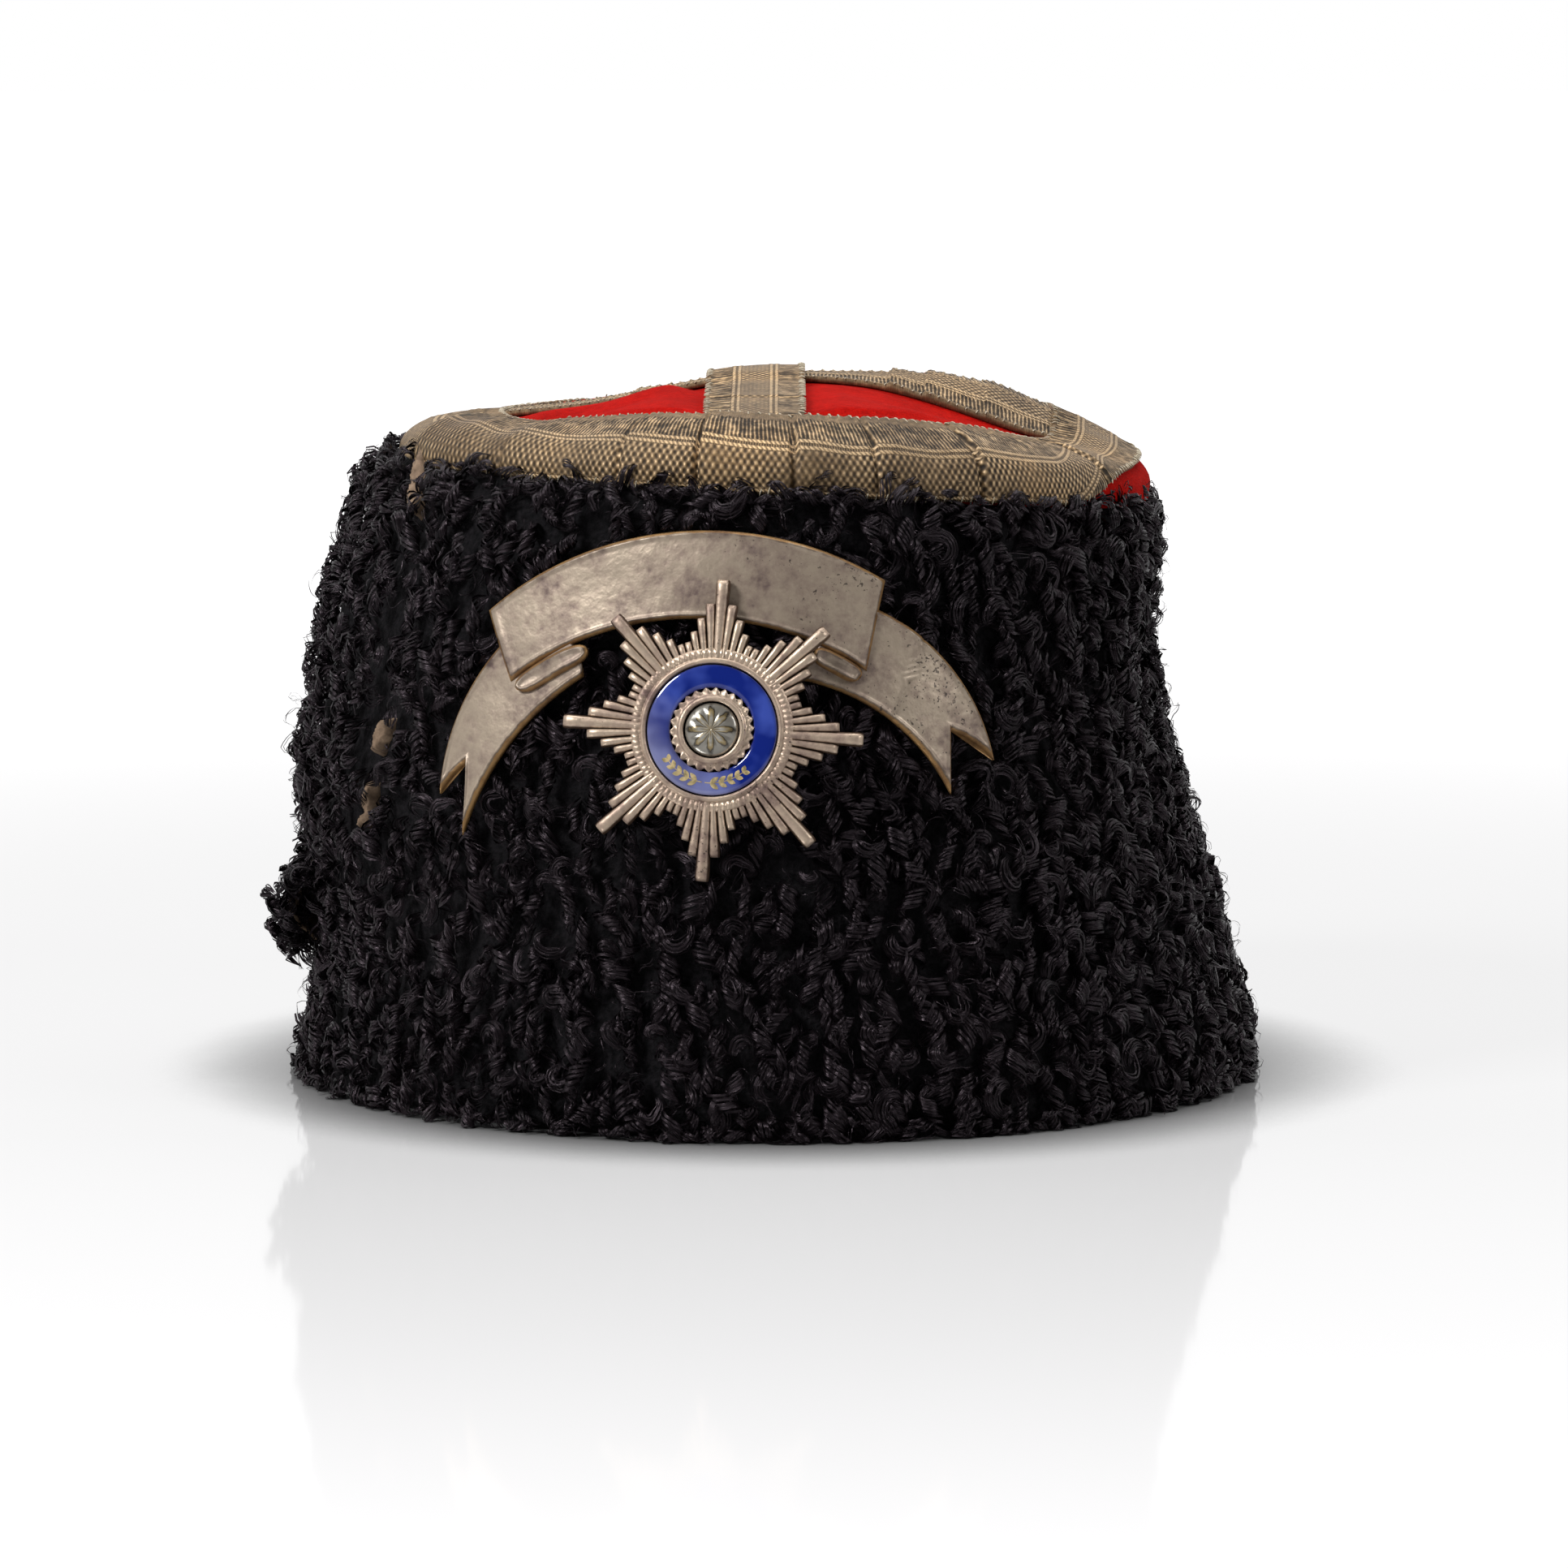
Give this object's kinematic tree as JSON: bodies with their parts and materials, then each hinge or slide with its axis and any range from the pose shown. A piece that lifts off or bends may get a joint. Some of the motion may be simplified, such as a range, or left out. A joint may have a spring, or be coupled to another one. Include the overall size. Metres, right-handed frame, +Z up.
{
  "type": "papakha",
  "caption": "Tall curled lambskin hat, open below, with a low cloth crown crossed by woven metal braid, and a ribbon scroll and a rayed star on its front.",
  "frame": {"origin": "on the ground under the middle of the hat", "axes": "+Z up; the badges face -Y; +X is to the right of someone looking at the badges"},
  "size_m": [0.2052, 0.2262, 0.1474],
  "materials": {
    "fur": "curled black lambskin, glossy locks over a dark hide",
    "cloth": "scarlet wool felt",
    "braid": "tarnished woven metal thread",
    "silver": "tarnished struck silver with traces of gilding",
    "enamel": "glossy cobalt enamel",
    "medallion": "glossy domed medallion"
  },
  "bodies": {
    "root": {"fur_body": "fur", "crown_cloth": "cloth", "rim_braid": "braid", "long_strip": "braid", "cross_strip": "braid", "scroll": "silver", "star": "silver", "enamel_ring": "enamel", "centre_collar": "silver", "medallion": "medallion"}
  },
  "joints": []
}
